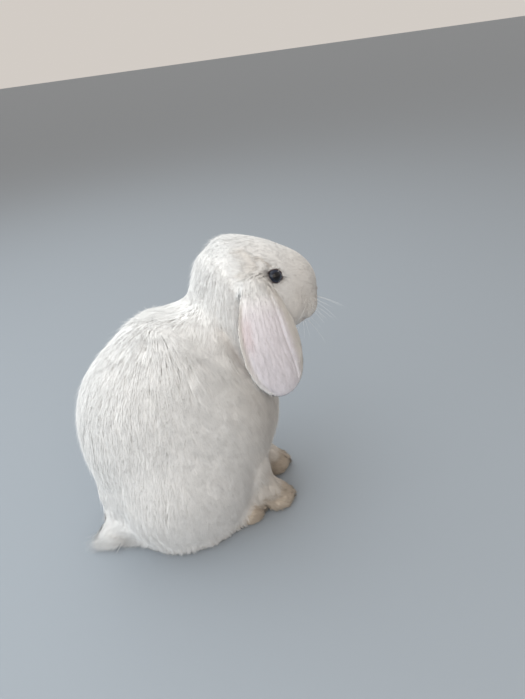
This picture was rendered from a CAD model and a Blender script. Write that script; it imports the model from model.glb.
# A white lop rabbit sitting up: one skin over the whole body, a coat of small solid tufts,
# eyes, claws and whiskers. Metres, +X is the way it faces, +Y its left, +Z up.
import math
import bpy
import numpy as np
from mathutils import Euler, Matrix, Vector
from mathutils.bvhtree import BVHTree
from mathutils.kdtree import KDTree


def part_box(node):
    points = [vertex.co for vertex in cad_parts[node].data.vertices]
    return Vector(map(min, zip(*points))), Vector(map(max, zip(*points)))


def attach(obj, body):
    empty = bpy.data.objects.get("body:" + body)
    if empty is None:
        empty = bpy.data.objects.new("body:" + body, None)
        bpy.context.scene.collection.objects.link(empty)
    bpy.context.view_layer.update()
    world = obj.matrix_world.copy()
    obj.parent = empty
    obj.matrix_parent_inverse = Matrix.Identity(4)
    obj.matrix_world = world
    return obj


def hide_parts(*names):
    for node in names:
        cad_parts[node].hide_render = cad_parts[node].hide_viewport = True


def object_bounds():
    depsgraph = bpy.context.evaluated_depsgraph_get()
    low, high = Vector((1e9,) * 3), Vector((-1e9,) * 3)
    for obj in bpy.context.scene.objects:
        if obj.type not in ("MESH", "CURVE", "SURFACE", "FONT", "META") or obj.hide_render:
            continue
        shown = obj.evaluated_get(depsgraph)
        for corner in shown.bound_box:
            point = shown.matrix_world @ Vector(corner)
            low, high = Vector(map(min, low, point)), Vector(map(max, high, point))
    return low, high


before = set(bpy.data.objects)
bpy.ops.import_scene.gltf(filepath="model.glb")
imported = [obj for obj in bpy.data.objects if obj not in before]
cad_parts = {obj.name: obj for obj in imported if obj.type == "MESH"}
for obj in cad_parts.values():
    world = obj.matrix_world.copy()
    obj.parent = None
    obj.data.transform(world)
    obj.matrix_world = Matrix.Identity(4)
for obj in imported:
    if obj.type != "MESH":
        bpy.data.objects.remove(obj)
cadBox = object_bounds()
dice = np.random.default_rng(7)  # every random choice comes from here
mm = 0.001
print("frame loaded:", len(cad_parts), "nodes")


def selectOnly(*pieces):
    bpy.ops.object.select_all(action="DESELECT")
    for piece in pieces:
        piece.select_set(True)
    bpy.context.view_layer.objects.active = pieces[0]


def editAll(piece):
    # everything of one piece selected in edit mode
    selectOnly(piece)
    bpy.ops.object.mode_set(mode="EDIT")
    bpy.ops.mesh.select_all(action="SELECT")


def leaveEdit():
    bpy.ops.object.mode_set(mode="OBJECT")


def addObject(name, data):
    made = bpy.data.objects.new(name, data)
    bpy.context.scene.collection.objects.link(made)
    return made


def newPaint(name, values):
    paint = bpy.data.materials.new(name)
    paint.use_nodes = True
    nodes = paint.node_tree.nodes
    shader = nodes["Principled BSDF"]
    for socketName, value in values.items():
        shader.inputs[socketName].default_value = value
    return paint, nodes, paint.node_tree.links, shader


def handIn(piece, paint, slot, *standsFor):
    # its finish, its body, its slot and the nodes it stands for
    piece.data.materials.append(paint)
    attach(piece, "root")
    if standsFor:
        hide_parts(*standsFor)


bpy.ops.object.select_all(action="DESELECT")

# camera, floor and light
view = {
    "lens": 28.38,
    "nearest": 0.01,
    "location": (-0.0501, -0.4561, 0.427),
    "right": (0.925, -0.3608, -0.117),
    "up": (0.2718, 0.4157, 0.8679),
    "back": (-0.2645, -0.8346, 0.4828),
}
cameraData = bpy.data.cameras.new("camera")
cameraData.lens = view["lens"]
cameraData.clip_start = view["nearest"]
camera = addObject("camera", cameraData)
axes = Matrix((view["right"], view["up"], view["back"])).transposed()
camera.matrix_world = Matrix.Translation(view["location"]) @ axes.to_4x4()
bpy.context.scene.camera = camera

stage = {
    "floorSize": 60,
    "floor": {"Base Color": (0.31, 0.345, 0.385, 1), "Roughness": 0.75},
    "worldTone": (0.98, 0.915, 0.85, 1),
    "worldStrength": 0.66,
    "bounces": 10,  # light gets deep into a white coat
    "aim": (0.0, 0.0, 0.13),
    # name: place, size, watts, colour
    "lamps": {
        "window": ((-0.30, 0.45, 1.40), 2.0, 16.0, (0.87, 0.955, 1.0)),
        "side": ((-1.15, -0.60, 0.50), 1.6, 13.5, (0.89, 0.96, 1.0)),
        "room": ((-0.20, -1.30, 0.95), 1.2, 5.0, (1.0, 0.91, 0.81)),
    },
}
bpy.ops.mesh.primitive_plane_add(size=stage["floorSize"])
floor = bpy.context.object
floor.name = "floor"
floor.data.materials.append(newPaint("floorPaint", stage["floor"])[0])
world = bpy.data.worlds.new("studio")
world.use_nodes = True
background = world.node_tree.nodes["Background"].inputs
background["Color"].default_value = stage["worldTone"]
background["Strength"].default_value = stage["worldStrength"]
bpy.context.scene.world = world
bpy.context.scene.view_settings.view_transform = "Standard"
bpy.context.scene.cycles.diffuse_bounces = stage["bounces"]
aim = Vector(stage["aim"])
for lampName, (place, size, watts, tone) in stage["lamps"].items():
    lampData = bpy.data.lights.new(lampName, "AREA")
    lampData.size = size
    lampData.energy = watts
    lampData.color = tone
    lamp = addObject(lampName, lampData)
    lamp.location = place
    lamp.rotation_euler = (Vector(place) - aim).to_track_quat("Z", "Y").to_euler()
print("camera, floor and light set")


# numbers out of a mesh and back
def readOut(items, name, width, kind=float):
    flat = np.empty(len(items) * width, dtype=kind)
    items.foreach_get(name, flat)
    return flat.reshape(-1, width)


def pointsOf(mesh):
    return readOut(mesh.vertices, "co", 3)


def normalsOf(mesh):
    return readOut(mesh.vertex_normals, "vector", 3)


def edgesOf(mesh):
    return readOut(mesh.edges, "vertices", 2, np.int32)


def trianglesOf(mesh):
    mesh.calc_loop_triangles()
    return readOut(mesh.loop_triangles, "vertices", 3, np.int32)


def setPoints(mesh, points):
    mesh.vertices.foreach_set("co", np.ascontiguousarray(points, dtype=np.float32).ravel())
    mesh.update()


def setColours(mesh, name, values):
    layer = mesh.color_attributes.new(name, "FLOAT_COLOR", "POINT")
    layer.data.foreach_set("color", values.astype(np.float32).ravel())


def unit(vectors):
    return vectors / np.maximum(np.linalg.norm(vectors, axis=-1, keepdims=True), 1e-12)


def ease(value, low, high):
    share = np.clip((value - low) / (high - low), 0, 1)
    return share * share * (3 - 2 * share)


def relax(values, edges, rounds, share=0.5):
    # each value moves towards the mean of its neighbours
    ends = np.concatenate([edges[:, 0], edges[:, 1]])
    others = np.concatenate([edges[:, 1], edges[:, 0]])
    count = len(values)
    degree = np.maximum(np.bincount(ends, minlength=count), 1)
    share = np.broadcast_to(np.asarray(share, dtype=float), (count,))
    out = np.array(values, dtype=float).reshape(count, -1)
    for _ in range(rounds):
        for k in range(out.shape[1]):
            mean = np.bincount(ends, weights=out[others, k], minlength=count) / degree
            out[:, k] += share * (mean - out[:, k])
    return out.reshape(np.shape(values))


# where the head and ears are
headPlace = {"centre": (0.100, 0, 0.232), "yaw": 7, "pitch": 24}
headTurn = np.array(Euler((0, math.radians(headPlace["pitch"]), math.radians(headPlace["yaw"]))).to_matrix())
yawTurn = np.array(Euler((0, 0, math.radians(headPlace["yaw"]))).to_matrix())
headCentre = np.array(headPlace["centre"])


def inHead(points):
    return (points - headCentre) @ headTurn


def fromHead(points):
    return np.asarray(points, dtype=float) @ headTurn.T + headCentre


earPlace = {
    "root": (-16, 30, 38),
    "bend": (-36, 56, -18),
    "tip": (-2, 45, -95),
    "width": 61,
    "rootShare": 0.62,
    "widest": 0.62,
    "sections": 90,
}


def earLine(side):
    # points along the ear's middle, with the ways along it, out of it and across it
    ends = [np.array([x, side * y, z]) * mm @ yawTurn.T + headCentre for x, y, z in
            (earPlace["root"], earPlace["bend"], earPlace["tip"])]
    t = np.linspace(0, 1, earPlace["sections"])[:, None]
    places = (1 - t) ** 2 * ends[0] + 2 * t * (1 - t) * ends[1] + t ** 2 * ends[2]
    along = unit(2 * (1 - t) * (ends[1] - ends[0]) + 2 * t * (ends[2] - ends[1]))
    forward = yawTurn @ np.array([1.0, 0, 0])
    out = unit(np.cross(forward, along)) * side
    across = unit(np.cross(along, out)) * side
    past = (t[:, 0] - earPlace["widest"]) / (1 - earPlace["widest"])
    spread = np.where(past > 0, np.sqrt(np.clip(1 - past ** 2, 0, 1)),
                      1 + (earPlace["rootShare"] - 1) * past ** 2)
    return places, along, out, across, spread


def onEar(points, side):
    # t runs from the ear's root to its tip, s from -1 at the rear edge to 1 at the front
    places, along, out, across, spread = earLine(side)
    nearest = np.linalg.norm(points[:, None, :] - places[None], axis=2).argmin(1)
    offset = points - places[nearest]
    halfWidth = earPlace["width"] / 2 * mm * np.maximum(spread[nearest], 0.25)
    s = (offset * across[nearest]).sum(1) / halfWidth
    return nearest / (earPlace["sections"] - 1), s, along[nearest], out[nearest], across[nearest]


# skin: copies of all the nodes, swollen until they meet, become one surface
skinMake = {
    "swell": 0.6 * mm,
    "cell": 1.8 * mm,
    "rounds": 16,
    "earRounds": 4,
    # how deep the coat is on each part, in mm
    "depth": {"trunk": 4.8, "neck": 6.0, "haunch": 5.4, "tail": 8.0, "head": 1.6, "ear": 0.6,
              "foreleg": 4.0, "forepaw": 2.2, "hind_foot": 2.4,
              "claw_fore": 2.2, "claw_hind": 2.4, "eye": 3.0},
    "depthRounds": 40,
    "thinBack": 0.45,  # how much less deep it is high on the back
    "deepNape": 2.4 * mm,  # how much deeper at the back of the head
    "steps": 4,
    "lowest": 0.0003,
}
regions = list(skinMake["depth"])


def regionOf(node):
    return next(k for k, r in enumerate(regions) if node.startswith(r))


def isPart(labels, *names):
    return np.isin(labels, [regions.index(n) for n in names])


cadPoints, cadFaces, cadLabels, cadSides = [], [], [], []
copies = []
total = 0
for nodeName, node in sorted(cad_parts.items()):
    copy = addObject("part_" + nodeName, node.data.copy())
    copies.append(copy)
    faces = trianglesOf(copy.data)
    cadPoints.append(pointsOf(copy.data))
    cadFaces.append(faces + total)
    cadLabels += [regionOf(nodeName)] * len(faces)
    cadSides += [-1 if "right" in nodeName else 1 if "left" in nodeName else 0] * len(faces)
    total += len(copy.data.vertices)
cadLabels = np.array(cadLabels)
cadSides = np.array(cadSides)
cadTree = BVHTree.FromPolygons(np.concatenate(cadPoints).tolist(), np.concatenate(cadFaces).tolist())


def labelsAt(points):
    hits = np.array([cadTree.find_nearest(p)[2] for p in points.tolist()])
    return cadLabels[hits], cadSides[hits]


selectOnly(*copies)
bpy.ops.object.join()
skin = bpy.context.object
skin.name = "skin"
skin.data.name = "skin"
skin.data.materials.clear()
editAll(skin)
bpy.ops.mesh.remove_doubles(threshold=0.00001)
bpy.ops.transform.shrink_fatten(value=skinMake["swell"])
leaveEdit()
skin.data.remesh_voxel_size = skinMake["cell"]
skin.data.use_remesh_fix_poles = True
bpy.ops.object.voxel_remesh()
print("skin joined:", len(skin.data.vertices), "points")

points = pointsOf(skin.data)
edges = edgesOf(skin.data)
labels, _ = labelsAt(points)
feet = ("forepaw", "hind_foot", "claw_fore", "claw_hind")
thinParts = ("ear", *feet)
thinShare = relax(isPart(labels, *thinParts).astype(float), edges, 6)
points = relax(points, edges, skinMake["earRounds"], 0.5)
points = relax(points, edges, skinMake["rounds"] - skinMake["earRounds"], 0.5 * (1 - thinShare))
depths = np.array([skinMake["depth"][regions[k]] for k in labels]) * mm
depths *= 1 - skinMake["thinBack"] * ease(points[:, 2], 0.12, 0.18) * isPart(labels, "trunk")
depths += skinMake["deepNape"] * ease(-inHead(points)[:, 0], 0, 0.030) * isPart(labels, "head")
depths = relax(depths, edges, skinMake["depthRounds"], 0.5)
for _ in range(skinMake["steps"]):
    setPoints(skin.data, points)
    normals = normalsOf(skin.data)
    # it stays where it rests on the floor
    flat = ease(-normals[:, 2], 0.5, 0.85) * ease(-points[:, 2], -0.010, -0.004)
    points = points - normals * (depths * (1 - flat) / skinMake["steps"])[:, None]
    points = relax(points, edges, 1, 0.4)
tailMake = {
    "from": -0.090,  # behind this the tail's core is drawn in and only hair reaches on
    "drawnIn": 0.35,
    "root": (-0.074, -0.030, 0.014),
    "rootReach": (0.026, 0.044),
    "rootRounds": 40,
    "middle": (-0.080, -0.008, 0.022),
    "middleReach": (0.026, 0.050),
    "tip": (-0.104, -0.008, 0.012),
    "fanFrom": (-0.055, -0.008, 0.030),  # the tail's hair spreads away from here
    "wispReach": (0.013, 0.006),  # how far behind the solids a wisp may end, and by how much less
}


def nearPlace(points, place, reach):
    # 1 at a place, 0 beyond its reach
    return ease(-np.linalg.norm(points - np.array(place), axis=1), -reach[1], -reach[0])


past = isPart(labels, "tail") & (points[:, 0] < tailMake["from"])
points[past, 0] = tailMake["from"] + (points[past, 0] - tailMake["from"]) * tailMake["drawnIn"]
tailRoot = nearPlace(points, tailMake["root"], tailMake["rootReach"])
points = relax(points, edges, tailMake["rootRounds"], 0.5 * tailRoot)  # the tail runs into the rump
points[:, 2] = np.maximum(points[:, 2], skinMake["lowest"])
setPoints(skin.data, points)
print("skin drawn in under the coat")

# lids, nose and mouth: the face is divided finer and pressed into shape
faceMake = {
    "eyeZone": 15 * mm,
    "noseZone": 24 * mm,
    "opening": (8.5 * mm, 6.0 * mm),  # half the length and half the height between the lids
    "eyeIn": 2.2 * mm,  # how far the eyeballs lie deeper than the solids
    "eyeGrow": 1.02,
    "gaze": {"skin": 0.20, "side": 0.80, "lean": (-0.04, 0, 0.20)},  # what the eye's axis is mixed from
    "lidOver": 0.35 * mm,  # how far the lid's edge stands over the eyeball
    "sink": 2.0 * mm,
    "lidEdge": (0.94, 1.03),  # these four are in shares of the opening
    "lidBlend": (1.02, 1.75),
    "lidFine": (1.05, 0.40),
    "lidRelax": 2.2,
}


def divide(near, cuts):
    # splits every face whose middle is in a zone
    mesh = skin.data
    chosen = near(readOut(mesh.polygons, "center", 3))
    selectOnly(skin)
    mesh.vertices.foreach_set("select", np.zeros(len(mesh.vertices), dtype=bool))
    mesh.edges.foreach_set("select", np.zeros(len(mesh.edges), dtype=bool))
    mesh.polygons.foreach_set("select", chosen)
    bpy.ops.object.mode_set(mode="EDIT")
    bpy.ops.mesh.select_mode(type="FACE")
    bpy.ops.mesh.subdivide(number_cuts=cuts, smoothness=0)
    leaveEdit()


eyes = {}
skinTree = BVHTree.FromPolygons(pointsOf(skin.data).tolist(), trianglesOf(skin.data).tolist())
for side, eyeName in ((-1, "eye_right"), (1, "eye_left")):
    low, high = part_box(eyeName)
    centre = (low + high) / 2
    nearest = skinTree.find_nearest(centre)[0]
    straight = headTurn @ np.array([0.0, side, 0.0])  # the eyes look out sideways
    gaze = faceMake["gaze"]
    outOfSkin = np.array((nearest - centre).normalized())
    axis = unit(outOfSkin * gaze["skin"] + straight * gaze["side"] + np.array(gaze["lean"]))
    forward = headTurn @ np.array([1.0, 0, 0])
    long = unit(forward - axis * (forward @ axis))
    above = unit(np.cross(axis, long))
    eyes[eyeName] = {
        "centre": np.array(centre) - axis * faceMake["eyeIn"],
        "radius": (high - low).x / 2 * faceMake["eyeGrow"],
        "axis": axis,
        "long": long,
        "up": above * np.sign(above[2]),
    }


def aroundEye(points, eye):
    # how far out a point lies, 1 at the lids' edge; how far off the eye's centre, and which way
    offset = points - eye["centre"]
    far = np.linalg.norm(offset, axis=1)
    way = offset / np.maximum(far, 1e-9)[:, None]
    ball = eye["radius"]
    turn = np.arccos(np.clip(way @ eye["axis"], -1, 1))
    arc = ball * turn / np.maximum(np.sin(turn), 1e-6)
    u = way @ eye["long"] * arc / faceMake["opening"][0]
    v = way @ eye["up"] * arc / faceMake["opening"][1]
    narrow = np.clip(1 - (0.12 + 0.22 * (u > 0)) * u * u, 0.3, 1)  # the front corner comes to a point
    reachOut = np.sqrt(u * u + (v / narrow) ** 2)
    return np.where(way @ eye["axis"] > 0, reachOut, 9.0), far, way


def nearestEye(points, k):
    # the smaller of the two eyes' values
    return np.min([aroundEye(points, eye)[k] for eye in eyes.values()], axis=0)


def onLids(points):
    middle, band = faceMake["lidFine"]
    found = np.zeros(len(points), dtype=bool)
    for eye in eyes.values():
        reachOut, far, _ = aroundEye(points, eye)
        found |= (np.abs(reachOut - middle) < band) & (far <= faceMake["eyeZone"])
    return found


noseTip = np.array(skinTree.ray_cast(Vector(fromHead([0.09, 0, -0.002])), Vector(-headTurn[:, 0]))[0])
divide(lambda m: nearestEye(m, 1) < faceMake["eyeZone"], 2)
divide(lambda m: np.linalg.norm(m - noseTip, axis=1) < faceMake["noseZone"], 2)
points = relax(pointsOf(skin.data), edgesOf(skin.data), 5, 0.5)
setPoints(skin.data, points)


def shapeLids(points):
    # between the lids the skin sinks behind the eyeball, at their edge it stands just over it
    for eye in eyes.values():
        reachOut, far, way = aroundEye(points, eye)
        lid = eye["radius"] + faceMake["lidOver"]
        inside = eye["radius"] - faceMake["sink"]
        edge = ease(reachOut, *faceMake["lidEdge"])
        over = lid + (far - lid) * ease(reachOut, *faceMake["lidBlend"])
        target = inside + (over - inside) * edge
        near = (reachOut < faceMake["lidBlend"][1]) & (far < faceMake["eyeZone"])
        points = np.where(near[:, None], eye["centre"] + way * target[:, None], points)
    return points


setPoints(skin.data, shapeLids(points))
divide(onLids, 2)
points = shapeLids(pointsOf(skin.data))
lidShare = 0.5 * (nearestEye(points, 0) < faceMake["lidRelax"])
points = shapeLids(relax(points, edgesOf(skin.data), 3, lidShare))
setPoints(skin.data, points)
print("lids shaped")


def pathOf(line, tree):
    # a line of corners, laid on the surface
    path = []
    for first, second in zip(line[:-1], line[1:]):
        for t in np.linspace(0, 1, 8)[:-1]:
            path.append(first * (1 - t) + second * t)
    path.append(line[-1])
    return np.array([tree.find_nearest(p)[0] for p in np.array(path).tolist()])


def gapTo(points, path):
    # how far each point is from a path; 1 where it is far off
    near = np.linalg.norm(points - path.mean(0), axis=1) < 0.05
    gap = np.full(len(points), 1.0)
    starts, span = path[:-1], path[1:] - path[:-1]
    offset = points[near][:, None, :] - starts[None]
    share = np.clip((offset * span).sum(2) / np.maximum((span * span).sum(1), 1e-12), 0, 1)
    gap[near] = np.linalg.norm(offset - share[:, :, None] * span, axis=2).min(1)
    return gap


def carve(points, normals, path, depth, width):
    # a groove, or with a negative depth a ridge
    return points - normals * (depth * mm * np.exp(-(gapTo(points, path) / (width * mm)) ** 2))[:, None]


# lines on the right of the face in the head's frame, in mm: points, depth, width
faceLines = {
    "nostril": ([(62, -1.4, -2.5), (61, -3.4, -0.6), (59, -5.0, 1.6), (57, -5.6, 3.4)], 1.9, 0.9),
    "wing": ([(62, -1.0, 1.0), (60, -3.2, 3.0), (58, -4.4, 5.2)], -0.8, 1.4),
    "lipCleft": ([(62, 0, -2.0), (62, 0, -6.0), (60, 0, -11.0), (57, 0, -14.5)], 1.8, 0.8),
    "mouth": ([(57, 0, -14.5), (54, -5, -17.0), (48, -9.5, -17.5), (40, -13, -16.5)], 1.5, 1.0),
}
# folds of the coat in the model's frame, in mm: the head's are on both sides
folds = {
    "brow": ([(98.7, -29.6, 266.5), (101.0, -31.0, 262.8), (104.1, -31.6, 259.0)], 1.5, 1.3),
    "temple": ([(79.7, -40.4, 261.0), (82.6, -40.3, 261.6), (86.9, -38.9, 263.2)], 1.6, 1.5),
    "browHollow": ([(86.9, -26.5, 275.6), (90.8, -28.3, 272.5), (90.0, -34.4, 266.4), (89.0, -39.2, 261.2)],
                   1.8, 3.6),
    "behindEye": ([(93.0, -38.9, 255.6), (94.9, -39.9, 249.7), (97.3, -40.0, 244.2), (99.2, -40.7, 236.0)],
                  1.5, 2.6),
    "napeRidge": ([(1.8, -10.5, 228.4), (11.1, -16.6, 227.8), (21.5, -19.0, 228.7), (33.2, -19.4, 231.4)],
                  -1.6, 5.0),
    "napeHollow": ([(8.0, -3.0, 231.0), (17.0, -9.0, 231.5), (28.0, -11.0, 233.5), (34.0, -11.0, 238.0)],
                   0.9, 5.0),
    "earHollow": ([(49.0, -37.7, 218.8), (54.1, -43.1, 204.0), (59.7, -46.0, 185.4)], 3.0, 8.0),
    "aboveTail": ([(-86.0, 26.0, 46.0), (-93.0, -8.0, 43.0), (-86.0, -42.0, 46.0)], 6.0, 11.0),
}
normals = normalsOf(skin.data)
skinTree = BVHTree.FromPolygons(points.tolist(), trianglesOf(skin.data).tolist())
foldPaths = {}
mirrored = ("nostril", "wing", "mouth", "brow", "temple", "browHollow", "behindEye")
for foldName, (line, depth, width) in [*faceLines.items(), *folds.items()]:
    line = np.array(line) * mm
    onHeadLine = line if foldName in faceLines else inHead(line)
    foldPaths[foldName] = [pathOf(fromHead(line) if foldName in faceLines else line, skinTree)]
    if foldName in mirrored:
        foldPaths[foldName].append(pathOf(fromHead(onHeadLine * [1, -1, 1]), skinTree))
    for path in foldPaths[foldName]:
        points = carve(points, normals, path, depth, width)
setPoints(skin.data, points)
print("face carved:", len(skin.data.polygons), "faces")

# ears and toes
earMake = {
    "foldAt": 0.46,  # the front edge is folded over: where, in half widths
    "foldHigh": 1.2 * mm,
    # fine folds along it: where, and how deep in mm
    "lines": [(-0.30, 0.22), (-0.10, 0.30), (0.10, 0.34), (0.28, 0.40)],
    "lineWidth": 0.045,
    "dishRear": 1.5 * mm,
    "dishAt": (0.80, 0.10),
}
toeMake = {
    "back": 13 * mm,
    "depth": 2.0 * mm,
    "width": 1.3 * mm,
    "ahead": 4 * mm,
    "top": (-0.040, -0.026),
    "reach": 8 * mm,
}

divide(lambda m: isPart(labelsAt(m)[0], *thinParts), 1)
points = pointsOf(skin.data)
normals = normalsOf(skin.data)
labels, sides = labelsAt(points)
shift = np.zeros(len(points))
for side in (-1, 1):
    mine = (labels == regions.index("ear")) & (sides == side)
    t, s, along, out, across = onEar(points[mine], side)
    outer = ease((normals[mine] * out).sum(1), 0.1, 0.5)  # only the outer side is shaped
    outer = outer * ease(t, 0.10, 0.26) * ease(-t, -0.98, -0.88)
    fold = earMake["foldAt"] + 0.10 * np.sin(t * 9) * (t - 0.3)
    grow = earMake["foldHigh"] * ease(s, fold, fold + 0.07) * ease(-s, -0.98, -0.75)
    grow -= 0.8 * mm * np.exp(-((s - fold) / 0.05) ** 2)
    for k, (place, deep) in enumerate(earMake["lines"]):
        wander = place + 0.06 * np.sin(t * (7 + 2 * k) + k) + 0.16 * (t - 0.5)
        groove = deep * mm * np.exp(-((s - wander) / earMake["lineWidth"]) ** 2)
        grow -= groove * ease(t, 0.2 + 0.05 * k, 0.4) * ease(-t, -0.92, -0.75)
    dishAt, dishWide = earMake["dishAt"]
    grow -= earMake["dishRear"] * np.exp(-((s + dishAt) / dishWide) ** 2) * ease(t, 0.2, 0.32)
    shift[mine] = grow * outer
for foot in ("fore_left", "fore_right", "hind_left", "hind_right"):
    boxes = [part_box(n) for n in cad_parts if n.startswith("claw_" + foot)]
    middles = [np.array((low + high) / 2) for low, high in sorted(boxes, key=lambda b: (b[0] + b[1]).y)]
    for first, second in zip(middles[:-1], middles[1:]):
        offset = points - ((first + second) / 2 + np.array([toeMake["ahead"], 0, 0]))
        beside = np.abs(offset[:, 1])
        inBack = ease(offset[:, 0], -toeMake["back"], -toeMake["back"] * 0.5) * (offset[:, 0] < 0.02)
        groove = toeMake["depth"] * np.exp(-(beside / toeMake["width"]) ** 2) * inBack
        shift -= groove * ease(-points[:, 2], *toeMake["top"]) * (beside < toeMake["reach"])
points = points + normals * shift[:, None]
points[:, 2] = np.maximum(points[:, 2], skinMake["lowest"])
setPoints(skin.data, points)
print("ears and toes shaped:", len(skin.data.polygons), "faces")

# what the coat is like all over the skin
coatMake = {
    # part: length, width, tufts per square mm, how free the tips are, how far they draw into locks
    "trunk": (25, 0.80, 1.31, 0.35, 0.60),
    "haunch": (25, 0.80, 1.31, 0.35, 0.60),
    "neck": (18, 0.7, 1.7, 0.25, 0.40),
    "tail": (23, 0.45, 3.6, 0.95, 0.55),
    "head": (9, 0.80, 2.55, 0.10, 0.10),
    "ear": (6.0, 0.70, 1.5, 0.2, 0.35),
    "foreleg": (13, 0.8, 1.9, 0.5, 0.6),
    "forepaw": (10, 0.75, 2.6, 0.7, 0.75),
    "hind_foot": (10, 0.75, 2.4, 0.7, 0.75),
    "rounds": 24,
    # how much higher the tips stand than the coat is deep
    "raise": {"trunk": 0.30, "haunch": 0.15, "tail": 0.25, "neck": -0.08},
}
for toe, foot in (("claw_fore", "forepaw"), ("claw_hind", "hind_foot"), ("eye", "head")):
    coatMake[toe] = coatMake[foot]

points = pointsOf(skin.data)
normals = normalsOf(skin.data)
edges = edgesOf(skin.data)
labels, sides = labelsAt(points)
part = {name: labels == k for k, name in enumerate(regions)}
body = part["trunk"] | part["haunch"]
onHead = part["head"] | part["eye"]
headPoints = inHead(points) / mm
x, _, z = (points / mm).T
hx, _, hz = headPoints.T
eyeNear = np.full(len(points), 9.0)
for eye in eyes.values():
    near, far, _ = aroundEye(points, eye)
    eyeNear = np.minimum(eyeNear, np.maximum(np.where(near < 9, near, 0), far / eye["radius"]))

ways = np.zeros_like(points)


def lay(where, way):
    ways[where] = np.broadcast_to(way, points.shape)[where]


one = np.ones(len(points))
lay(body, unit(np.stack([0.32 * ease(x, -60, 50) - 0.10, 0 * one, -one], 1)))
lay(part["neck"], unit(np.stack([-0.35 * ease(-x, -70, -10), 0 * one, -one], 1)))
lay(part["foreleg"], [0.12, 0, -1])
lay(isPart(labels, *feet), [1, 0, -0.25])
tailFan = unit(points - np.array(tailMake["fanFrom"]))
lay(part["tail"], unit(tailFan + np.array([-0.5, -0.1, -0.2])))
nearTail = (nearPlace(points, tailMake["middle"], tailMake["middleReach"]) * (1 - part["tail"]))[:, None]
ways = unit(ways * (1 - nearTail) + unit(np.array(tailMake["tip"]) - points) * nearTail)
cheek = ease(-hz, -4, 18)
fromNose = unit(points - noseTip)
backwards = np.stack([-one, 0 * one, -0.15 - 0.9 * cheek], 1) @ headTurn.T
muzzle = ease(hx, 36, 56)[:, None]
lay(onHead, unit(unit(backwards) * (1 - muzzle) + fromNose * muzzle))
earT, earS, earOut = np.zeros(len(points)), np.zeros(len(points)), np.zeros(len(points))
for side in (-1, 1):
    mine = part["ear"] & (sides == side)
    t, s, along, out, across = onEar(points[mine], side)
    ways[mine] = unit(along + across * (0.55 * s * np.abs(s) ** 3)[:, None])
    earT[mine], earS[mine] = t, s
    earOut[mine] = (normals[mine] * out).sum(1)
ways = relax(ways, edges, 16)
for eye in eyes.values():  # the hair parts in front of the eye and runs round it
    outOf = points - eye["centre"]
    outOf = unit(outOf - eye["axis"] * (outOf @ eye["axis"])[:, None])
    inwards = np.clip(-(ways * outOf).sum(1), 0, None) * (1 - ease(eyeNear, 1.35, 2.0))
    ways += outOf * (1.7 * inwards)[:, None]
ways = unit(ways - normals * (ways * normals).sum(1)[:, None])

table = np.array([coatMake[name] for name in regions])[labels]
depth = np.array([skinMake["depth"][name] for name in regions])[labels]
length, width, thick, free, draws = table.T
snout = ease(hx, 14, 46) * onHead
length = length * (1 - 0.5 * snout) + 6 * ease(-hx, -8, 30) * onHead
for name, more in coatMake["raise"].items():
    depth = depth * (1 + more * part[name])
depth = (depth + 2.0 * ease(-hx, 0, 30) * onHead) * (1 - 0.5 * snout)
depth = depth * (1 - 0.12 * ease(z, 130, 200) * part["trunk"])
width = width * (1 - 0.25 * snout)
rim = ease(np.abs(earS), 0.8, 1.0) * part["ear"]
earRoot = part["ear"] * ease(-earT, -0.26, -0.05)
length = length * (1 + 0.1 * rim) + 6 * earRoot
thick = thick * (1 + 1.2 * rim) + 0.7 * earRoot
depth = depth + 2.0 * earRoot
free = free * (1 - 0.5 * rim)
fringe = ease(-z, -30, -6) * (body | part["tail"])
free = np.maximum(free, 0.9 * fringe)
draws = np.maximum(draws, 0.95 * fringe)
fields = relax(np.stack([length, width, thick, depth, free, draws], 1), edges, coatMake["rounds"])
length, width, thick, depth, free, draws = fields.T
lidBare = ease(eyeNear, 1.06, 1.20)
length = length * (0.13 + 0.87 * ease(eyeNear, 1.15, 2.5))
width = width * (0.6 + 0.4 * ease(eyeNear, 1.05, 2.2))
depth = depth * (0.22 + 0.78 * ease(eyeNear, 1.05, 2.4))
offNose = (headPoints - inHead(noseTip[None])[0] / mm - [0, 0, 1]) * [0.6, 1, 1]
noseBare = ease(np.linalg.norm(offNose, axis=1), 3.6, 6.5)
thick = thick * lidBare * (0.15 + 0.85 * noseBare)
lipLine = np.zeros(len(points))
for path in foldPaths["lipCleft"] + foldPaths["mouth"]:
    lipLine = np.maximum(lipLine, np.exp(-(gapTo(points, path) / (1.3 * mm)) ** 2))
thick = thick * (1 - 0.8 * lipLine)
length = length * (1 - 0.5 * lipLine)
underneath = ease(-normals[:, 2], 0.35, 0.7) * ease(-z, -14, -6)
thick = thick * (1 - underneath)

# markings: how warm, pink, dark and lilac the coat and skin are, the same for both
markMake = {
    "paws": 1.0,
    "foreleg": 0.6,
    "tailEnd": 0.35,
    "face": 0.32,
    "earFront": 0.45,
    "earRear": 0.55,
    "lowBody": 0.12,
    "chest": 0.42,
    "neckFront": 0.25,
    "warmFolds": {"brow": 0.8, "temple": 0.7, "browHollow": 0.35, "behindEye": 0.35, "earHollow": 0.30},
    "darkFolds": {"brow": 0.40, "temple": 0.30},
    "eyeCorner": 0.62,
    "lips": (0.42, 0.4),  # how dark and how pink
    "nose": 0.75,
    "earPatch": 0.26,
    "earInside": 0.7,
}
warm = np.zeros(len(points))
warm += markMake["paws"] * isPart(labels, *feet)
warm += markMake["foreleg"] * part["foreleg"]
warm += markMake["tailEnd"] * part["tail"] * ease(-x, 92, 108)
warm += markMake["face"] * ease(hx, 2, 34) * (1 - 0.4 * ease(hz, 4, 26)) * onHead
warm += markMake["earFront"] * ease(earS, 0.42, 0.52) * part["ear"]
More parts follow.
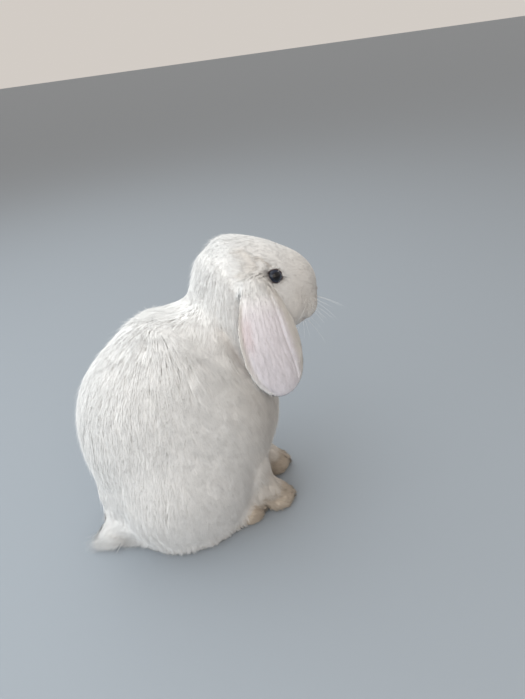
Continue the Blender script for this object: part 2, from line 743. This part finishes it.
rearEdge = part["ear"] * ease(-earS, 0.62, 0.74) * ease(earS, -0.95, -0.88)
warm += markMake["earRear"] * rearEdge * ease(earT, 0.22, 0.34) * ease(-earT, -0.85, -0.6)
warm += markMake["lowBody"] * ease(-z, -45, -8) * part["trunk"]
warm += markMake["chest"] * ease(x, 10, 75) * body
warm += markMake["neckFront"] * ease(x, 55, 85) * part["neck"]
warm = relax(np.clip(warm, 0, 1), edges, 22)
for foldName, share in markMake["warmFolds"].items():
    for path in foldPaths[foldName]:
        spread = folds[foldName][2] * 1.2 * mm
        warm = np.maximum(warm, share * np.exp(-(gapTo(points, path) / spread) ** 2))
dark = np.zeros(len(points))
for eye in eyes.values():
    offset = points - eye["centre"]
    close = np.linalg.norm(offset, axis=1) < 16 * mm
    inFront = ease(offset @ eye["long"], 4.5 * mm, 8.0 * mm)
    above = ease(offset @ eye["up"], -2.0 * mm, 5.0 * mm)
    dark = np.maximum(dark, (1.0 - ease(eyeNear, 1.06, 1.18 + 0.08 * above)) * close)
    dark = np.maximum(dark, markMake["eyeCorner"] * (1.0 - ease(eyeNear, 1.10, 1.62)) * inFront * close)
dark = relax(dark, edges, 1)
for foldName, share in markMake["darkFolds"].items():
    for path in foldPaths[foldName]:
        dark = np.maximum(dark, share * np.exp(-(gapTo(points, path) / (1.0 * mm)) ** 2))
dark = np.maximum(dark, markMake["lips"][0] * lipLine ** 2)
pink = np.maximum(markMake["nose"] * (1 - noseBare) * onHead, markMake["lips"][1] * lipLine)
earPatch = part["ear"] * ease(-earS, 0.50, 0.62) * ease(earS, -0.86, -0.76)
pink = np.maximum(pink, markMake["earPatch"] * earPatch * ease(earT, 0.30, 0.40) * ease(-earT, -0.60, -0.48))
earInside = part["ear"] * ease(-earOut, 0.2, 0.6) * (1 - ease(np.abs(earS), 0.6, 0.9))
pink = relax(np.maximum(pink, markMake["earInside"] * earInside), edges, 2)
lilac = part["ear"] * (1 - ease(np.abs(earS + 0.1), 0.55, 0.85)) * ease(earT, 0.16, 0.40)
lilac = relax(lilac, edges, 6)
marking = np.stack([warm, pink, lilac, 1 - dark], 1)
setColours(skin.data, "marking", marking)

editAll(skin)
bpy.ops.uv.smart_project(angle_limit=math.radians(66), island_margin=0.002)
leaveEdit()
skin.data.uv_layers[0].name = "OFBake"
bpy.ops.object.shade_smooth()
print("skin unwrapped and marked")

# tufts: each is a thin closed spindle of five points
tuftMake = {
    "lockSize": 40,  # tufts to a lock
    "swing": 0.10,
    "lockSwing": 0.16,
    "long": (0.75, 1.2),
    "wide": (0.8, 1.2),
    "lift": (0.88, 1.0),
    # a share of the tufts are long thin guard hairs
    "guard": {"share": 0.06, "long": 1.2, "thin": 0.5, "lift": 1.22, "free": 0.55},
    "middle": {"at": 0.42, "lift": 0.72, "freeLift": 0.6, "draw": 0.45},
    "rootDeep": 0.0004,
    "floorLevel": 0.0004,
    "floorSpread": 0.0006,
    "ragged": 0.45,  # how uneven the locks' lengths are at the tail and the lower edge
    "tone": 0.22,
    "most": 33000,  # tufts to a piece
}
faces = trianglesOf(skin.data)
loops = readOut(skin.data.loop_triangles, "loops", 3, np.int32)
uvs = readOut(skin.data.uv_layers["OFBake"].data, "uv", 2)[loops]
corners = points[faces]
areas = np.linalg.norm(np.cross(corners[:, 1] - corners[:, 0], corners[:, 2] - corners[:, 0]), axis=1) / 2
weights = areas * 1e6 * thick[faces].mean(1)
count = int(weights.sum())
# evenly spread picks: one per equal share of the running total
picks = (np.arange(count) + dice.random(count)) / count * weights.sum()
chosen = np.searchsorted(np.cumsum(weights), picks).clip(0, len(faces) - 1)
a, b = dice.random(count), dice.random(count)
flip = a + b > 1
a[flip], b[flip] = 1 - a[flip], 1 - b[flip]
bary = np.stack([1 - a - b, a, b], 1)


def atRoots(values):
    values = np.asarray(values, dtype=float)
    picked = values[faces[chosen]]
    return (picked * bary.reshape(bary.shape + (1,) * (values.ndim - 1))).sum(1)


roots = atRoots(points)
rootUv = (uvs[chosen] * bary[:, :, None]).sum(1)
up = unit(atRoots(normals))
way = unit(atRoots(ways))
size = atRoots(np.stack([length, width, depth], 1)) * mm
loose, locks = atRoots(np.stack([free, draws], 1)).T
rootMarking = atRoots(marking)
rootLabel = labels[faces[chosen, 0]]
print("tufts:", count)

# locks are longer along the lie of the coat than across it
onFace = isPart(rootLabel, "head", "eye")
onFoot = isPart(rootLabel, *feet, "tail")
onBody = isPart(rootLabel, "trunk", "haunch")
centres = dice.permutation(count)[:max(count // tuftMake["lockSize"], 1)]
lockPlaces = roots * [1, 1, 0.28]
lockPlaces = np.where(onFace[:, None], inHead(roots) * [0.35, 1, 1] + [2, 0, 0], lockPlaces)
lockPlaces = np.where(onFoot[:, None], roots * [0.5, 1.6, 1.6] + [4, 0, 0], lockPlaces)
tree = KDTree(len(centres))
for k, c in enumerate(centres):
    tree.insert(lockPlaces[c], k)
tree.balance()
clump = centres[[tree.find(r)[1] for r in lockPlaces.tolist()]]

guardMake = tuftMake["guard"]
swing = dice.normal(0, tuftMake["swing"], count)
swing = (swing + dice.normal(0, tuftMake["lockSwing"], count)[clump] * locks)[:, None]
way = unit(way * np.cos(swing) + np.cross(up, way) * np.sin(swing))
guard = dice.random(count) < guardMake["share"]
size[:, 0] *= dice.uniform(*tuftMake["long"], count)
size[:, 0] *= (1 + 0.12 * dice.normal(0, 1, count)[clump]).clip(0.75, 1.25)
size[:, 0] *= np.where(guard, guardMake["long"], 1)
size[:, 1] *= np.where(guard, guardMake["thin"], 1) * dice.uniform(*tuftMake["wide"], count)
edgeLow = atRoots(fringe)
ragged = tuftMake["ragged"] * np.maximum(edgeLow, isPart(rootLabel, "tail"))
size[:, 0] *= 1 + ragged * dice.normal(0, 1, count)[clump].clip(-1.5, 1.5)
tipLift = size[:, 2] * dice.uniform(*tuftMake["lift"], count) * np.where(guard, guardMake["lift"], 1)
tipLift *= 1 + 0.5 * edgeLow
loose = np.where(guard, np.maximum(loose, guardMake["free"]), loose)
draw = locks[:, None] * (roots[clump] - roots)
draw -= up * (draw * up).sum(1)[:, None]
draw -= way * (draw * way).sum(1)[:, None]

skinTree = BVHTree.FromPolygons(points.tolist(), faces.tolist())


def settle(places, lifts):
    # a point over the skin: the nearest place on it, lifted
    out = np.empty_like(places)
    ups = np.empty_like(places)
    for k, place in enumerate(places.tolist()):
        out[k], ups[k] = skinTree.find_nearest(place)[:2]
    return out + ups * lifts[:, None], ups


# low on the body the coat hangs free and outwards, down to the floor
outward = up * [1, 1, 0]
outward = outward / np.maximum(np.linalg.norm(outward, axis=1), 0.3)[:, None]
hang = unit(outward * 0.6 + way * [0.6, 0.6, 0] + np.array([0, 0, -1.0]))
hangs = (edgeLow * onBody)[:, None]
way = unit(way * (1 - hangs) + hang * hangs)
half = tuftMake["middle"]
middlePlaces = roots + way * (size[:, :1] * half["at"]) + draw * half["draw"]
middles, middleUps = settle(middlePlaces, tipLift * half["lift"])
tipPlaces = roots + way * size[:, :1] + draw
tips, tipUps = settle(tipPlaces, tipLift)
tips += (tipPlaces + up * tipLift[:, None] - tips) * loose[:, None]
middles += (middlePlaces + up * tipLift[:, None] * half["freeLift"] - middles) * hangs
floorLevel = tuftMake["floorLevel"]
drop = roots[:, 2] - tips[:, 2]
reach = np.where(drop > 1e-5, (roots[:, 2] - floorLevel) / np.maximum(drop, 1e-5), 1)
reach = reach.clip(0.3, 1)[:, None]  # tips end at the floor
tips = roots + (tips - roots) * reach
middles = roots + (middles - roots) * reach
print("tufts laid")
base = roots - up * tuftMake["rootDeep"]
axisWay = unit(tips - base)
acrossWay = unit(np.cross(axisWay, middleUps + up * 0.5))
ridge = unit(np.cross(acrossWay, axisWay))
halfWide = size[:, 1:2] / 2
shape = np.stack([base, middles - acrossWay * halfWide, middles + acrossWay * halfWide,
                  middles + ridge * halfWide * 0.8, tips], 1)
shape[:, :, 2] = np.maximum(shape[:, :, 2], floorLevel + dice.uniform(0, tuftMake["floorSpread"], (count, 1)))
wispReach, wispLess = tailMake["wispReach"]
shape[:, :, 0] = np.maximum(shape[:, :, 0], cadBox[0][0] - wispReach + dice.uniform(0, wispLess, (count, 1)))
lean = unit(up + middleUps)
paws = isPart(rootLabel, *feet, "foreleg")
sideLean = acrossWay * (0.22 + 0.35 * paws)[:, None]
# the normals lean to the skin's, so that the coat is lit as one soft surface
shapeNormals = np.stack([up, unit(lean - sideLean), unit(lean + sideLean), unit(lean + ridge * 0.3),
                         unit(tipUps + up * 0.3)], 1)
tuftFaces = np.array([(0, 1, 2), (0, 2, 3), (0, 3, 1), (4, 2, 1), (4, 3, 2), (4, 1, 3)])
alongValues = np.array([0.0, 0.5, 0.5, 0.5, 1.0])
uvSpread = np.array([(-0.0014, 0), (0, -0.0009), (0, 0.0009), (0.0004, 0.0001), (0.0016, 0)])
tone = dice.normal(0, 1, count) * 0.45 + dice.normal(0, 1, count)[clump] * 0.8
tone = tone * tuftMake["tone"] * (1 + 0.8 * paws - 0.5 * onFace) + 0.5


def tuftPiece(name, which):
    total = len(which)
    mesh = bpy.data.meshes.new(name)
    mesh.vertices.add(total * 5)
    mesh.vertices.foreach_set("co", shape[which].astype(np.float32).ravel())
    corner = (tuftFaces[None] + (np.arange(total) * 5)[:, None, None]).reshape(-1)
    mesh.loops.add(len(corner))
    mesh.loops.foreach_set("vertex_index", corner.astype(np.int32))
    mesh.polygons.add(len(corner) // 3)
    mesh.polygons.foreach_set("loop_start", np.arange(0, len(corner), 3, dtype=np.int32))
    mesh.update(calc_edges=True)
    mesh.polygons.foreach_set("use_smooth", np.ones(len(corner) // 3, dtype=bool))
    uv = mesh.uv_layers.new(name="OFBake")
    places = (rootUv[which][:, None] + uvSpread[None]).reshape(-1, 2)[corner]
    uv.data.foreach_set("uv", places.astype(np.float32).ravel())
    setColours(mesh, "marking", np.repeat(rootMarking[which], 5, axis=0))
    strand = np.ones((total, 5, 4))
    strand[:, :, 0] = alongValues[None]
    strand[:, :, 1] = tone[which][:, None]
    setColours(mesh, "strand", strand)
    mesh.normals_split_custom_set_from_vertices(shapeNormals[which].reshape(-1, 3).tolist())
    return addObject(name, mesh)


# finishes
finish = {
    "white": (0.955, 0.95, 0.94, 1),
    "root": (0.92, 0.905, 0.885, 1),
    "warm": (0.565, 0.49, 0.41, 1),
    "pink": (0.60, 0.36, 0.34, 1),
    "dark": (0.060, 0.036, 0.040, 1),
    "lilac": (0.87, 0.82, 0.86, 1),
    "tones": (0.86, 1.04),  # the darkest and the lightest locks
    "fur": {"Roughness": 0.7, "Specular IOR Level": 0.25, "Sheen Weight": 0.15, "Sheen Roughness": 0.4},
    "skin": {"Roughness": 0.75, "Specular IOR Level": 0.3},
    "skinAlong": 0.7,
    "grain": 900,
    "grainDepth": (0.35, 0.0004),
}


def toneGroup():
    # white, warmed, reddened or greyed by the marking, and darker at the root of a hair
    group = bpy.data.node_groups.new("coatTone", "ShaderNodeTree")
    face = group.interface
    face.new_socket("Marking", in_out="INPUT", socket_type="NodeSocketColor")
    for socketName in ("Light", "Along", "Tone"):
        face.new_socket(socketName, in_out="INPUT", socket_type="NodeSocketFloat")
    face.new_socket("Color", in_out="OUTPUT", socket_type="NodeSocketColor")
    nodes, links = group.nodes, group.links
    start = nodes.new("NodeGroupInput")
    end = nodes.new("NodeGroupOutput")
    split = nodes.new("ShaderNodeSeparateColor")
    links.new(start.outputs["Marking"], split.inputs["Color"])

    def blend(low, high, share, kind="MIX"):
        mix = nodes.new("ShaderNodeMix")
        mix.data_type = "RGBA"
        mix.blend_type = kind
        links.new(share, mix.inputs[0])
        for socket, value in ((mix.inputs[6], low), (mix.inputs[7], high)):  # its two colours
            if isinstance(value, tuple):
                socket.default_value = value
            else:
                links.new(value, socket)
        return mix.outputs[2]

    body = blend(finish["root"], finish["white"], start.outputs["Along"])
    body = blend(body, finish["warm"], split.outputs[0], "MULTIPLY")
    body = blend(body, finish["lilac"], split.outputs[2])
    body = blend(body, finish["pink"], split.outputs[1])
    body = blend(finish["dark"], body, start.outputs["Light"])
    shade = nodes.new("ShaderNodeMapRange")
    shade.inputs["To Min"].default_value, shade.inputs["To Max"].default_value = finish["tones"]
    links.new(start.outputs["Tone"], shade.inputs["Value"])
    scaled = nodes.new("ShaderNodeVectorMath")
    scaled.operation = "SCALE"
    links.new(body, scaled.inputs[0])
    links.new(shade.outputs["Result"], scaled.inputs["Scale"])
    links.new(scaled.outputs["Vector"], end.inputs["Color"])
    return group


coatTone = toneGroup()


def markedPaint(name):
    paint, nodes, links, shader = newPaint(name, finish[name])
    group = nodes.new("ShaderNodeGroup")
    group.node_tree = coatTone
    marks = nodes.new("ShaderNodeAttribute")
    marks.attribute_name = "marking"
    links.new(marks.outputs["Color"], group.inputs["Marking"])
    links.new(marks.outputs["Alpha"], group.inputs["Light"])
    links.new(group.outputs["Color"], shader.inputs["Base Color"])
    return paint, nodes, links, shader, group


def grainIn(nodes, links, scale):
    place = nodes.new("ShaderNodeTexCoord")
    grain = nodes.new("ShaderNodeTexNoise")
    grain.inputs["Scale"].default_value = scale
    links.new(place.outputs["Object"], grain.inputs["Vector"])
    return grain


def grainPaint(name, scale, low, high, roughness):
    # a finish that wavers between two tones
    paint, nodes, links, shader = newPaint(name, {"Roughness": roughness})
    grain = grainIn(nodes, links, scale)
    ramp = nodes.new("ShaderNodeValToRGB")
    ramp.color_ramp.elements[0].color = low
    ramp.color_ramp.elements[1].color = high
    links.new(grain.outputs["Fac"], ramp.inputs["Fac"])
    links.new(ramp.outputs["Color"], shader.inputs["Base Color"])
    return paint


furPaint, nodes, links, shader, group = markedPaint("fur")
strands = nodes.new("ShaderNodeAttribute")
strands.attribute_name = "strand"
split = nodes.new("ShaderNodeSeparateColor")
links.new(strands.outputs["Color"], split.inputs["Color"])
links.new(split.outputs[0], group.inputs["Along"])
links.new(split.outputs[1], group.inputs["Tone"])

skinPaint, nodes, links, shader, group = markedPaint("skin")
group.inputs["Along"].default_value = finish["skinAlong"]
grain = grainIn(nodes, links, finish["grain"])
grain.inputs["Detail"].default_value = 3
links.new(grain.outputs["Fac"], group.inputs["Tone"])
bump = nodes.new("ShaderNodeBump")
bump.inputs["Strength"].default_value, bump.inputs["Distance"].default_value = finish["grainDepth"]
links.new(grain.outputs["Fac"], bump.inputs["Height"])
links.new(bump.outputs["Normal"], shader.inputs["Normal"])
handIn(skin, skinPaint, "coat", *[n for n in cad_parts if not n.startswith(("eye", "claw"))])

# which tufts make which piece
turnRound = np.degrees(np.arctan2(roots[:, 1], roots[:, 0]))
bands = {
    "trunk": onBody,
    "neck": isPart(rootLabel, "neck"),
    "head": onFace,
    "ears": isPart(rootLabel, "ear"),
    "legs": paws,
    "tail": isPart(rootLabel, "tail"),
}
for bandName, found in bands.items():
    members = np.flatnonzero(found)
    members = members[np.argsort(turnRound[members], kind="stable")]
    shares = max(1, math.ceil(len(members) / tuftMake["most"]))
    for k, which in enumerate(np.array_split(members, shares)):
        pieceName = f"coat_{bandName}_{k + 1}" if shares > 1 else f"coat_{bandName}"
        handIn(tuftPiece(pieceName, which), furPaint, "coat")
    print("coat:", bandName, len(members))

# eyes
eyeMake = {
    "around": 64,
    "rings": 40,
    "cornea": 1.10,  # how far the clear front stands out
    "pupil": 0.125,  # edges of the zones, as a share of half a turn from the front
    "iris": 0.235,
    "rimDark": 0.27,
    "tones": {
        "pupil": (0.003, 0.003, 0.005, 1),
        "inner": (0.008, 0.012, 0.024, 1),
        "outer": (0.020, 0.028, 0.052, 1),
        "edge": (0.007, 0.008, 0.013, 1),
        "white": (0.10, 0.07, 0.065, 1),
    },
    "frontAt": 0.80,  # the cornea starts here, in radii
    "shine": {"Roughness": 0.12, "Specular IOR Level": 0.2, "Coat Weight": 0.7, "Coat Roughness": 0.02,
              "Coat IOR": 1.38},
}
eyePaint, nodes, links, shader = newPaint("eye", eyeMake["shine"])
zone = nodes.new("ShaderNodeAttribute")
zone.attribute_name = "eyeZone"
split = nodes.new("ShaderNodeSeparateColor")
links.new(zone.outputs["Color"], split.inputs["Color"])
rays = nodes.new("ShaderNodeTexNoise")  # streaks that run out from the pupil
rays.noise_dimensions = "2D"
rays.inputs["Scale"].default_value = 46
rays.inputs["Detail"].default_value = 2
spread = nodes.new("ShaderNodeCombineXYZ")
links.new(split.outputs[1], spread.inputs["X"])
streak = nodes.new("ShaderNodeMath")
streak.operation = "MULTIPLY_ADD"
links.new(rays.outputs["Fac"], streak.inputs[0])
streak.inputs[1].default_value = 0.06
links.new(split.outputs[0], streak.inputs[2])
links.new(spread.outputs["Vector"], rays.inputs["Vector"])
ramp = nodes.new("ShaderNodeValToRGB")
links.new(streak.outputs["Value"], ramp.inputs["Fac"])
stops = ramp.color_ramp.elements
stops[0].position, stops[0].color = eyeMake["pupil"] + 0.025, eyeMake["tones"]["pupil"]
stops[1].position, stops[1].color = 0.5, eyeMake["tones"]["white"]
for place, tone in ((eyeMake["pupil"] + 0.045, "inner"), (eyeMake["iris"], "outer"),
                    (eyeMake["rimDark"] + 0.02, "edge"), (eyeMake["rimDark"] + 0.08, "edge")):
    stop = stops.new(place)
    stop.color = eyeMake["tones"][tone]
links.new(ramp.outputs["Color"], shader.inputs["Base Color"])
for eyeName, eye in eyes.items():
    bpy.ops.object.select_all(action="DESELECT")
    bpy.ops.mesh.primitive_uv_sphere_add(segments=eyeMake["around"], ring_count=eyeMake["rings"],
                                         radius=eye["radius"] - 0.1 * mm)
    ball = bpy.context.object
    ball.name = "eyeball_" + eyeName.split("_")[1]
    spots = pointsOf(ball.data)
    turn = np.arccos(np.clip(unit(spots)[:, 2], -1, 1)) / math.pi
    roundIt = np.arctan2(spots[:, 1], spots[:, 0]) / (2 * math.pi) + 0.5
    setColours(ball.data, "eyeZone", np.stack([turn, roundIt, 0 * turn, 0 * turn + 1], 1))
    bpy.ops.object.mode_set(mode="EDIT")
    bpy.ops.mesh.select_all(action="DESELECT")
    leaveEdit()
    front = eye["radius"] * eyeMake["frontAt"]
    ball.data.vertices.foreach_set("select", spots[:, 2] > front)
    bpy.ops.object.mode_set(mode="EDIT")
    bpy.ops.mesh.select_mode(type="VERT")
    bpy.ops.transform.resize(value=(1, 1, 1 + (eyeMake["cornea"] - 1) * 3), center_override=(0, 0, front))
    leaveEdit()
    bpy.ops.object.shade_smooth()
    sideways = np.cross(eye["axis"], eye["long"])
    place = Matrix([list(eye["long"]), list(sideways), list(eye["axis"])]).transposed()
    ball.data.transform(Matrix.Translation(eye["centre"]) @ place.to_4x4())
    ball.data.update()
    handIn(ball, eyePaint, "eye", eyeName)
print("eyes made")

# claws: one is modelled, each node gets a copy
clawMake = {
    "radius": 1.5 * mm,
    "point": 0.15 * mm,
    "length": 10 * mm,
    "sides": 12,
    "narrow": 0.8,
    "hook": 1.2 * mm,
    "slope": 14,
}
clawPaint = grainPaint("claw", 700, (0.42, 0.33, 0.25, 1), (0.66, 0.56, 0.46, 1), 0.35)
bpy.ops.object.select_all(action="DESELECT")
bpy.ops.mesh.primitive_cone_add(vertices=clawMake["sides"], radius1=clawMake["radius"],
                                radius2=clawMake["point"], depth=clawMake["length"],
                                rotation=(0, math.pi / 2, 0))
clawModel = bpy.context.object
bpy.ops.object.transform_apply(location=True, rotation=True, scale=True)
editAll(clawModel)
bpy.ops.mesh.subdivide(number_cuts=3)
leaveEdit()
spots = pointsOf(clawModel.data)
share = spots[:, 0] / clawMake["length"] + 0.5
spots[:, 1] *= clawMake["narrow"]
spots[:, 2] -= clawMake["hook"] * share ** 2
setPoints(clawModel.data, spots)
clawModel.data.transform(Matrix.Rotation(math.radians(clawMake["slope"]), 4, "Y"))
bpy.ops.object.shade_smooth()
for nodeName in sorted(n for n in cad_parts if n.startswith("claw")):
    copy = addObject(nodeName.replace("claw", "nail"), clawModel.data.copy())
    low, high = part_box(nodeName)
    spots = pointsOf(copy.data)
    middle = (spots.min(0) + spots.max(0)) / 2
    setPoints(copy.data, spots + np.array((low + high) / 2) - middle)
    handIn(copy, clawPaint, "claw", nodeName)
bpy.data.objects.remove(clawModel)
print("claws made")

# whiskers and brow hairs: thin tapered tubes on the skin
whiskerMake = {
    "rows": 4,
    "perRow": 5,
    "long": 52 * mm,
    "radius": 0.13 * mm,
    "brows": 3,
    "browLong": 16 * mm,
    "droop": -0.07,
    "browDroop": -0.10,
    "sections": 7,
    "sides": 4,
}
hairs = []
for side in (-1, 1):
    for row in range(whiskerMake["rows"]):
        for k in range(whiskerMake["perRow"]):
            at = np.array([52 - 4.2 * k, side * (9 + 1.4 * k), -3 - 4.0 * row]) * mm
            forwards = 0.42 - 0.28 * k + dice.normal(0, 0.06)
            way = unit(np.array([forwards, side * 1.0, 0.16 - 0.14 * row + dice.normal(0, 0.05)]))
            long = whiskerMake["long"] * dice.uniform(0.55, 1.0) * (0.7 + 0.1 * k)
            hairs.append((at, way, long, whiskerMake["droop"]))
    for k in range(whiskerMake["brows"]):
        at = np.array([2 - 3.0 * k, side * 25, 27 - 0.8 * k]) * mm
        way = unit(np.array([0.25 - 0.25 * k, side * 0.55, 0.75]))
        long = whiskerMake["browLong"] * dice.uniform(0.6, 1.0)
        hairs.append((at, way, long, whiskerMake["browDroop"]))
spots, tubes = [], []
sections, sidesRound = whiskerMake["sections"], whiskerMake["sides"]
for at, way, long, droop in hairs:
    start = np.array(skinTree.find_nearest(fromHead(at))[0])
    way = headTurn @ way
    along = np.linspace(0, 1, sections)[:, None]
    line = start + way * long * along + np.array([-0.10, 0, droop]) * long * along ** 2
    first = unit(np.cross(way, [0.1, 0.2, 1.0]))
    second = unit(np.cross(way, first))
    offset = len(spots)
    for j in range(sections - 1):
        radius = whiskerMake["radius"] * (1 - 0.8 * j / (sections - 1)) * min(1, long / (34 * mm))
        for q in range(sidesRound):
            turn = 2 * math.pi * q / sidesRound
            spots.append(line[j] + radius * (first * math.cos(turn) + second * math.sin(turn)))
    spots.append(line[-1])
    for j in range(sections - 2):
        for q in range(sidesRound):
            n = (q + 1) % sidesRound
            tubes.append((offset + j * sidesRound + q, offset + j * sidesRound + n,
                          offset + (j + 1) * sidesRound + n, offset + (j + 1) * sidesRound + q))
    last = offset + (sections - 2) * sidesRound
    for q in range(sidesRound):
        tubes.append((last + q, last + (q + 1) % sidesRound, offset + (sections - 1) * sidesRound))
    tubes.append(tuple(offset + q for q in reversed(range(sidesRound))))
whiskerMesh = bpy.data.meshes.new("whiskers")
whiskerMesh.from_pydata([tuple(p) for p in spots], [], tubes)
whiskers = addObject("whiskers", whiskerMesh)
editAll(whiskers)
bpy.ops.mesh.normals_make_consistent(inside=False)
leaveEdit()
bpy.ops.object.shade_smooth()
whiskerPaint = grainPaint("whisker", 260, (0.86, 0.85, 0.83, 1), (0.96, 0.95, 0.94, 1), 0.3)
handIn(whiskers, whiskerPaint, "coat")
print("whiskers made")
